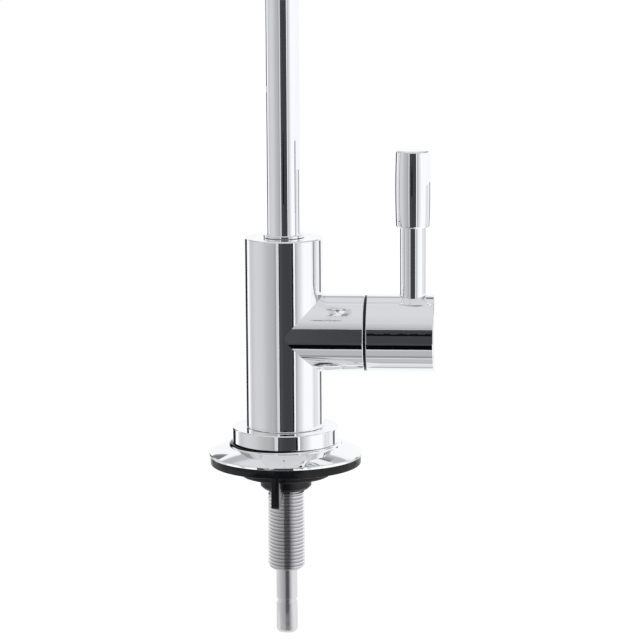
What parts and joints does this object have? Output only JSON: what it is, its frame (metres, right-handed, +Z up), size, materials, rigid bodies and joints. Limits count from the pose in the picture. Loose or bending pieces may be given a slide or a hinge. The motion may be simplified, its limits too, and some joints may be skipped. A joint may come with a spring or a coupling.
{
  "type": "drinking water filter tap",
  "caption": "Chrome drinking water filter tap with a swivelling gooseneck, a side lever on a quarter-turn ceramic valve, and a flanged worktop base over a threaded shank.",
  "frame": {"origin": "on the worktop face, on the axis of the body and shank, under the black seat", "axes": "+Z up the body's axis, +X along the side branch towards the lever, -Y towards the user, where the spout points at rest"},
  "size_m": [0.0663, 0.1536, 0.3189],
  "materials": {
    "chrome": "bright polished chrome plate",
    "nickel": "satin turned nickel plate",
    "dark_metal": "dark satin plate",
    "black_plastic": "semi-gloss moulded",
    "rubber": "matte moulded",
    "brass": "turned",
    "ceramic": "lapped white ceramic",
    "clip_steel": "spring steel",
    "white_plastic": "moulded acetal"
  },
  "bodies": {
    "tap_body": {"flange_seat": "black_plastic", "locating_washer": "rubber", "lock_ring": "dark_metal", "flange_plate": "chrome", "base_ring": "chrome", "body_shell": "chrome", "shank": "nickel", "inlet_stem": "nickel", "inlet_seal": "rubber", "cartridge_body": "brass", "cartridge_seal": "rubber", "cartridge_o_ring": "rubber", "fixed_disc": "ceramic", "slip_ring": "black_plastic"},
    "handle": {"moving_disc": "ceramic", "spindle": "brass", "spindle_o_rings": "rubber", "spindle_clip": "clip_steel", "spline_bush": "black_plastic", "handle_cap": "chrome", "lever_rod": "chrome", "lever_grip": "chrome"},
    "spout": {"spout_bush": "brass", "spout_o_rings": "rubber", "spout_clip": "white_plastic", "spout_ring": "chrome", "spout_tube": "chrome", "outlet_tip": "chrome", "outlet_insert": "white_plastic"}
  },
  "joints": [
    {"name": "handle_turn", "type": "hinge", "parent": "tap_body", "child": "handle", "pos_m": [0.0373, 0, 0.0388], "axis": [1, 0, 0], "range_deg": [0, 90]},
    {"name": "spout_swivel", "type": "hinge", "parent": "tap_body", "child": "spout", "pos_m": [0, 0, 0.0668], "axis": [0, 0, 1], "continuous": true}
  ]
}
